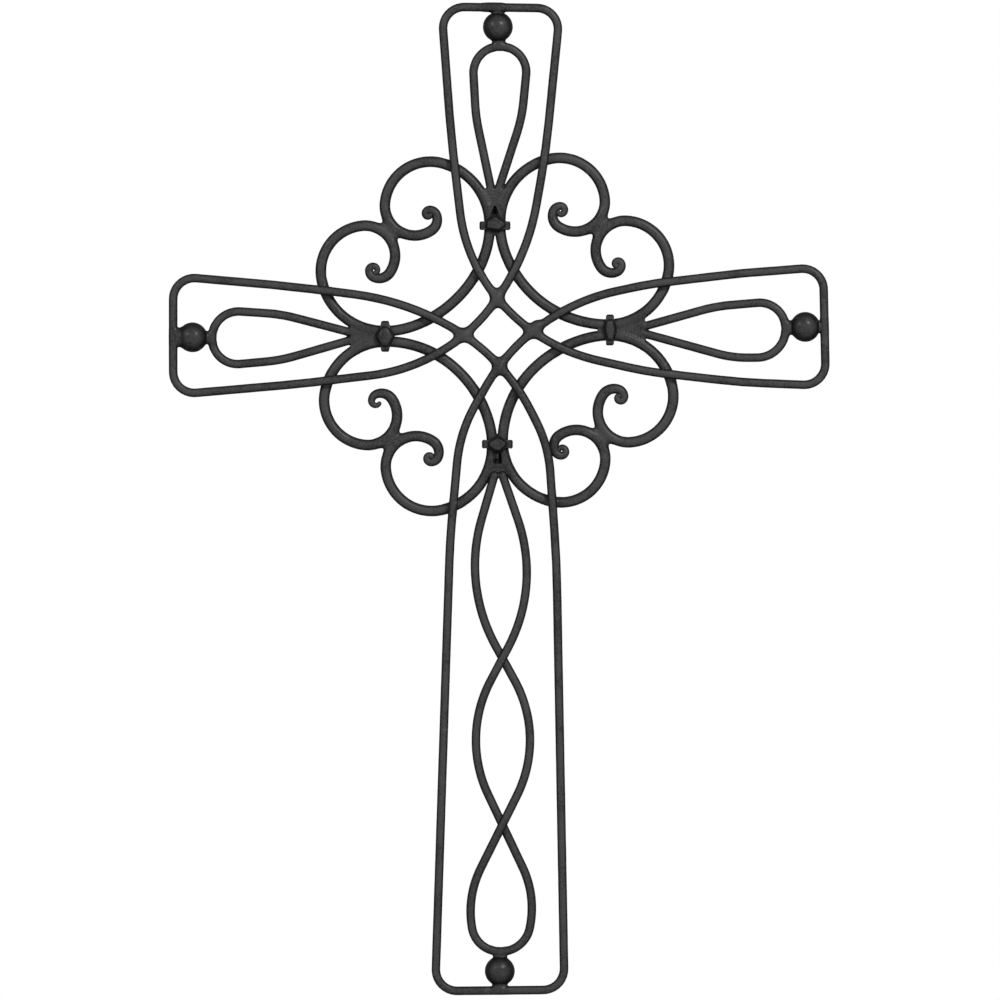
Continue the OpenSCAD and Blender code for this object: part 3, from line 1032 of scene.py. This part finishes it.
class CROSS_OT_scrolls(Operator):
    """Bends the four scrolls and welds the lobes of each where they touch"""

    bl_idname = "cross.scrolls"
    bl_label = "Scrolls"

    def execute(self, context):
        welds = context.scene.cross_welds
        for k, name in enumerate(SCROLLS):
            line = scroll_line(name)
            meshes = [rod_mesh(name, line, 30.0 + k)]
            middle_at = len(line) // 2
            a, b = line[: middle_at - SWEEP_POINTS], line[middle_at + SWEEP_POINTS :]
            away = np.linalg.norm(a[:, None, :3] - b[None, :, :3], axis=2)
            i, j = np.unravel_index(away.argmin(), away.shape)
            at = (a[i, :3] + b[j, :3]) / 2
            strands = strands_near(a, at, LOBE_REACH) + strands_near(b, at, LOBE_REACH)
            made = joint_skin(strands, welds.lobes / MM, welds.cell / MM)
            meshes.append(skin_mesh(f"{name}_weld", made, "rod", 40.0 + k, 1.3, 0.45))
            piece_from(f"{name}_rod", meshes, "painted_rod", name)
        return {"FINISHED"}


class CROSS_OT_loops(Operator):
    """Bends the three teardrop loops and the long loop of the stem"""

    bl_idname = "cross.loops"
    bl_label = "Loops"

    def execute(self, context):
        for seed, arm in ((50.0, "top"), (51.0, "left"), (52.0, "right"), (55.0, "foot")):
            name = "loop_stem" if arm == "foot" else f"loop_{arm}"
            piece_from(f"{name}_rod", [rod_mesh(name, loop_line(arm), seed)], "painted_rod", name)
        return {"FINISHED"}


# Radii of the weld necks of each ball, to its end bar and to its loop
NECKS = {"top": (3.1, 3.9), "left": (6.0, 3.8), "right": (2.9, 4.3), "foot": (4.3, 4.1)}

# How much thinner than wide a neck is, and how far short of the rod's middle it ends
NECK_FLATNESS = 1.35
NECK_SHORT = 0.9


def neck_field(points, centre, end, radius):
    """Distance outside a neck from a ball's middle to just short of a rod's, flatter in depth."""
    ahead = unit(end - centre)
    squashed = (points - centre) * (1, NECK_FLATNESS, 1)
    along = (points - centre) @ ahead
    side = np.linalg.norm(squashed - along[:, None] * ahead, axis=1)
    return cut_to(0.8, side - radius, along - np.linalg.norm(end - centre) + NECK_SHORT, -along)


def joined_ball_field(points, centre, ends, radii, rods, fillet):
    """Distance outside a ball welded to its necks, and by them to the rods at their ends."""
    necks = [neck_field(points, centre, end, radius) for end, radius in zip(ends, radii)]
    ball = welded(fillet, ball_field(points, centre, BALL_R + PAINT), *necks)
    return welded(fillet, ball, *(rod_field(points, s) for s in rods))


class CROSS_OT_balls(Operator):
    """Sets a ball at the end of each arm, with its weld necks to the outline and the loop"""

    bl_idname = "cross.balls"
    bl_label = "Balls"

    def execute(self, context):
        welds = context.scene.cross_welds
        outline = run_on(outline_line())
        for k, (name, arm) in enumerate(ARMS.items()):
            between = 0.5 * (arm.ball_off + arm.loop_off)
            centre, bar_at, end_at = (
                np.array([x, y, z + KNOT_Z])
                for (x, z), y in (
                    (on_arm(name, (arm.ball_off, arm.reach - BALL_INSET)), BALL_Y),
                    (on_arm(name, (arm.ball_off, arm.reach)), OUTLINE_Y),
                    (on_arm(name, (between, loop_end(name))), BALL_Y),
                )
            )
            rods = strands_near(outline, bar_at, 10) + strands_near(loop_line(name), end_at, 10)
            made = skin_round(
                lambda p: joined_ball_field(
                    p, centre, (bar_at, end_at), NECKS[name], rods, welds.neck / MM
                ),
                centre, 23, welds.cell / MM,
            )
            mesh = skin_mesh(f"ball_{name}", made, "forged", 60.0 + k, 1.6, 0.5)
            piece_from(f"ball_{name}_forged", [mesh], "painted_forging", f"ball_{name}")
        return {"FINISHED"}


# Each collar's half height at the rods and at its ends, and its boss: the facets of the boss as
# (direction in degrees, distance out), and how round their edges are
COLLARS = {
    "top": (2.35, 2.6, [(0, 7.2), (57, 6.0), (123, 6.0), (180, 6.4), (262, 3.8), (310, 5.2)], 0.35),
    "foot": (2.4, 2.65, [(0, 6.6), (50, 5.4), (90, 5.4), (130, 5.4), (180, 6.6), (240, 4.9),
                         (300, 4.9)], 0.35),
    "left": (3.3, 2.5, [(0, 6.6), (60, 5.5), (118, 5.7), (180, 7.2), (242, 5.6), (300, 5.4)], 1.1),
    "right": (2.5, 2.4, [(0, 7), (75, 4.3), (105, 4.4), (180, 7.4), (255, 4.1), (285, 4.4)], 0.9),
}

# Where a collar's strap starts to flare, and over what length; how round its edges are; and how
# much its corners are cut back in height and in depth, by planes at this share of both
FLARE_FROM, FLARE_L = 5.5, 2.5
STRAP_SOFT = 0.35
DIAGONAL = 0.72
HEIGHT_CUT, DEPTH_CUT = 0.5, 0.9

# The boss: how far behind the strap's front it starts to taper, its height from there, how far it
# reaches back into the strap, and the lean of its facets as (cosine, sine)
BOSS_SINK = 0.4
BOSS_H = 2.7
BOSS_ROOT = 2.5
BOSS_LEAN = (0.8, 0.6)


def arm_frame(points, name):
    """Points as (across, outward, depth) from the middle of an arm's collar."""
    arm = ARMS[name]
    x, z = on_arm(name, (arm.collar_off, arm.collar))
    dx, dz = points[:, 0] - x, points[:, 2] - z - KNOT_Z
    across = dx if name in ("top", "foot") else dz
    out = {"top": dz, "foot": -dz, "left": -dx, "right": dx}[name]
    return across, out, points[:, 1]


def collar_field(points, name):
    """Distance outside a collar: a strap that flares at its ends, with a boss in front."""
    at_rods, at_ends, facets, soft = COLLARS[name]
    u, v, y = arm_frame(points, name)
    height = at_rods + (at_ends - at_rods) * np.clip((np.abs(u) - FLARE_FROM) / FLARE_L, 0, 1)
    past_end = np.abs(u) - COLLAR_W / 2
    strap = cut_to(
        STRAP_SOFT,
        past_end,
        np.abs(v) - height,
        np.abs(y + COLLAR_DEPTH / 2) - COLLAR_DEPTH / 2,
        DIAGONAL * (past_end + np.abs(v) - at_ends) + HEIGHT_CUT,
        DIAGONAL * (past_end - y - COLLAR_DEPTH) + DEPTH_CUT,
    )
    rise = -(y + COLLAR_DEPTH - BOSS_SINK)
    sides = []
    for a, out in facets:
        past = u * math.cos(math.radians(a)) + v * math.sin(math.radians(a)) - out
        sides.append(BOSS_LEAN[0] * past + BOSS_LEAN[1] * np.maximum(rise, 0))
    boss = cut_to(soft, *sides, rise - BOSS_H, y + COLLAR_DEPTH - BOSS_ROOT)
    return welded(0.5, strap, boss)


class CROSS_OT_collars(Operator):
    """Closes a forged collar round each pair of scroll rods, with its boss in front"""

    bl_idname = "cross.collars"
    bl_label = "Collars"

    def execute(self, context):
        cell = context.scene.cross_welds.cell / MM * 0.7
        for k, (name, arm) in enumerate(ARMS.items()):
            x, z = on_arm(name, (arm.collar_off, arm.collar))
            made = skin_round(lambda p: collar_field(p, name), (x, 0, z + KNOT_Z), 12, cell)
            mesh = skin_mesh(f"collar_{name}", made, "forged", 70.0 + k, 1.9, 0.35)
            piece_from(f"collar_{name}_forged", [mesh], "painted_forging", f"collar_{name}")
        return {"FINISHED"}


# The weld on the knot's side of each collar, half the width of the pocket between the collar and
# the web, and whether a bead was left in it
SEAMS = {"top": (6.0, 3.0, False), "foot": (5.5, 2.6, True), "left": (3.2, 0, False),
         "right": (7.5, 0, False)}

# The plate of weld: half its thickness, and the strokes of the torch on it from STROKES_FROM on
PLATE_HALF = 2.4
STROKE_H = 0.1
STROKE_PITCH = 1.9
STROKES_FROM = 3

# Where there is a pocket, the weld past it swells: by how much, how far out and over what length
SWELL = (1.15, 9, 4.5)

# The pocket's floor in front of the rods' middles, and how narrow it gets next to its mouth
POCKET_FLOOR = 0.9
POCKET_SHARE = 0.25

# The bead in the pocket, as (across, outward, in front of the rods' middles, radius) at both ends
POCKET_BEAD = [(0, 5.2, 3.2, 0.9), (0, 8.4, 3.0, 1.1)]


def web_field(points, name, rods):
    """Distance outside the weld in the fork of an arm's two lobes, with the rods it joins."""
    near, far = ARMS[name].web
    fill, pocket_w, bead = SEAMS[name]
    u, v, y = arm_frame(points, name)
    low, high = (np.interp(np.abs(v), s[:, 1], s[:, 0]) for s in map(fork_side, PASSING[name]))
    stroke = STROKE_H * np.sin(2 * math.pi * v / STROKE_PITCH + 0.7 * np.sin(u * 1.1))
    height, out_at, reach = SWELL
    swell = height * bool(pocket_w) * np.exp(-(((v - out_at) / reach) ** 4))
    plate = cut_to(
        0.8,
        np.abs(y - SCROLL_Y) - PLATE_HALF - stroke * (v > STROKES_FROM) - swell * (y < SCROLL_Y),
        -fill - v,
        v - far,
        u - high,
        -u - low,
    )
    if pocket_w:
        closing = 1 if bead else np.clip((near + 0.8 - v) / (near - 5), POCKET_SHARE, 1)
        pocket = cut_to(
            0.4, np.abs(u) - pocket_w * closing, v - near, 1 - v, y - SCROLL_Y - POCKET_FLOOR
        )
        plate = cut_to(0.5, plate, -pocket)
    if bead:
        drop = np.array([(across, out, SCROLL_Y - front, r) for across, out, front, r in POCKET_BEAD])
        plate = np.minimum(plate, rod_field(np.stack([u, v, y], axis=-1), drop))
    return welded(0.9, plate, *(rod_field(points, s) for s in rods))


class CROSS_OT_webs(Operator):
    """Fills the fork of each pair of scroll rods with weld, where the loop's legs end"""

    bl_idname = "cross.webs"
    bl_label = "Webs"

    def execute(self, context):
        cell = context.scene.cross_welds.cell / MM * 0.9
        for k, (name, arm) in enumerate(ARMS.items()):
            x, z = on_arm(name, (arm.collar_off, arm.collar + arm.web[1] / 2))
            centre = np.array([x, SCROLL_Y, z + KNOT_Z])
            rods = []
            for scroll in SCROLLS:
                if name in (SCROLLS[scroll][0], SCROLLS[scroll][3]):
                    rods += strands_near(scroll_line(scroll), centre, 20)
            rods += strands_near(loop_line(name), centre, 17)
            made = skin_round(lambda p: web_field(p, name, rods), centre, 23, cell)
            mesh = skin_mesh(f"web_{name}", made, "weld", 80.0 + k, 1.5, 0.35)
            piece_from(f"web_{name}_weld", [mesh], "painted_weld", f"web_{name}")
        return {"FINISHED"}


# ---------- Stage ----------


# In metres: half the floor's width and how far its middle is in front of the wall, the lamps and
# the width of each, and the point (x, z) that the camera looks straight at
FLOOR_HALF = 1.7
FLOOR_AHEAD = 0.4
KEY_AT = (1.25, -2.1, 1.25)
FILL_AT = (-1.9, -1.9, 1.0)
LAMP_W = 0.5
LOOK_AT = (0.00072, -0.27655)


def add_light(name, place, target, power):
    """A soft square lamp that faces a point."""
    data = bpy.data.lights.new(name, "AREA")
    data.size = LAMP_W
    data.energy = power
    lamp = bpy.data.objects.new(name, data)
    lamp.location = place
    lamp.rotation_euler = (Vector(target) - Vector(place)).to_track_quat("-Z", "Y").to_euler()
    bpy.context.scene.collection.objects.link(lamp)


class CROSS_OT_stage(Operator):
    """Sets the floor, the light and the camera"""

    bl_idname = "cross.stage"
    bl_label = "Stage"

    def execute(self, context):
        scene, stage = context.scene, context.scene.cross_stage
        low, high = CAD_BOX
        scene.view_settings.view_transform = "Standard"

        floor_z = low.z - stage.drop
        corners = [(-1, -1), (1, -1), (1, 1), (-1, 1)]
        floor = bpy.data.meshes.new("floor")
        floor.from_pydata(
            [(x * FLOOR_HALF, y * FLOOR_HALF - FLOOR_AHEAD, floor_z) for x, y in corners],
            [], [(0, 1, 2, 3)],
        )
        pale = bpy.data.materials.new("pale_floor")
        pale.use_nodes = True
        graph = Graph(pale.node_tree)
        shader = pale.node_tree.nodes["Principled BSDF"]
        place = graph.value("ShaderNodeTexCoord", output=3)
        mottle = graph.value("ShaderNodeTexNoise", {"Vector": place, "Scale": 3.0})
        tone = tuple(stage.floor_color)
        graph.feed(
            shader.inputs["Base Color"],
            graph.mixed(mottle, (*(0.985 * c for c in tone), 1), (*tone, 1)),
        )
        shader.inputs["Roughness"].default_value = 0.9
        floor.materials.append(pale)
        ground = bpy.data.objects.new("floor", floor)
        scene.collection.objects.link(ground)

        world = bpy.data.worlds.new("studio")
        world.use_nodes = True
        scene.world = world
        graph = Graph(world.node_tree)
        for item in list(world.node_tree.nodes):
            world.node_tree.nodes.remove(item)
        rays = graph.node("ShaderNodeLightPath")
        seen = Socket(graph, rays.outputs["Is Camera Ray"])
        for kind in ("Is Glossy Ray", "Is Transmission Ray"):
            seen = seen.greatest(Socket(graph, rays.outputs[kind]))
        strength = stage.surround + (1.0 - stage.surround) * seen
        background = graph.value(
            "ShaderNodeBackground", {"Color": (1, 1, 1, 1), "Strength": strength}
        )
        graph.node("ShaderNodeOutputWorld", {"Surface": background})

        centre = (Vector(low) + Vector(high)) / 2
        add_light("key", KEY_AT, centre, stage.key)
        add_light("fill", FILL_AT, centre, stage.fill)

        data = bpy.data.cameras.new("camera")
        data.sensor_width = 36
        data.lens = data.sensor_width * (stage.distance + OUTLINE_Y * MM) / stage.view_width
        data.clip_end = 50
        camera = bpy.data.objects.new("camera", data)
        camera.location = (LOOK_AT[0], -stage.distance, LOOK_AT[1])
        camera.rotation_euler = (math.pi / 2, 0, 0)
        scene.collection.objects.link(camera)
        scene.camera = camera
        return {"FINISHED"}


# ---------- Panel ----------

STEPS = [
    CROSS_OT_outline,
    CROSS_OT_scrolls,
    CROSS_OT_loops,
    CROSS_OT_balls,
    CROSS_OT_collars,
    CROSS_OT_webs,
    CROSS_OT_stage,
]
SETTINGS = {
    "cross_rods": CrossRods,
    "cross_welds": CrossWelds,
    "cross_paint": CrossPaint,
    "cross_stage": CrossStage,
}


class CROSS_PT_panel(Panel):
    """The settings and the pieces, in the order in which they are made"""

    bl_idname = "CROSS_PT_panel"
    bl_label = "Wall Cross"
    bl_space_type = "VIEW_3D"
    bl_region_type = "UI"
    bl_category = "Wall Cross"

    def draw(self, context):
        for name, group in SETTINGS.items():
            box = self.layout.box()
            values = getattr(context.scene, name)
            for field in group.__annotations__:
                box.prop(values, field)
        for step in STEPS:
            self.layout.operator(step.bl_idname)


def register():
    for group in SETTINGS.values():
        bpy.utils.register_class(group)
    for step in STEPS:
        bpy.utils.register_class(step)
    bpy.utils.register_class(CROSS_PT_panel)
    for name, group in SETTINGS.items():
        setattr(bpy.types.Scene, name, PointerProperty(type=group))


def unregister():
    for name in SETTINGS:
        delattr(bpy.types.Scene, name)
    bpy.utils.unregister_class(CROSS_PT_panel)
    for step in reversed(STEPS):
        bpy.utils.unregister_class(step)
    for group in reversed(list(SETTINGS.values())):
        bpy.utils.unregister_class(group)


def main():
    register()
    bpy.ops.cross.outline()
    bpy.ops.cross.scrolls()
    bpy.ops.cross.loops()
    bpy.ops.cross.balls()
    bpy.ops.cross.collars()
    bpy.ops.cross.webs()
    bpy.ops.cross.stage()


if __name__ == "__main__":
    main()
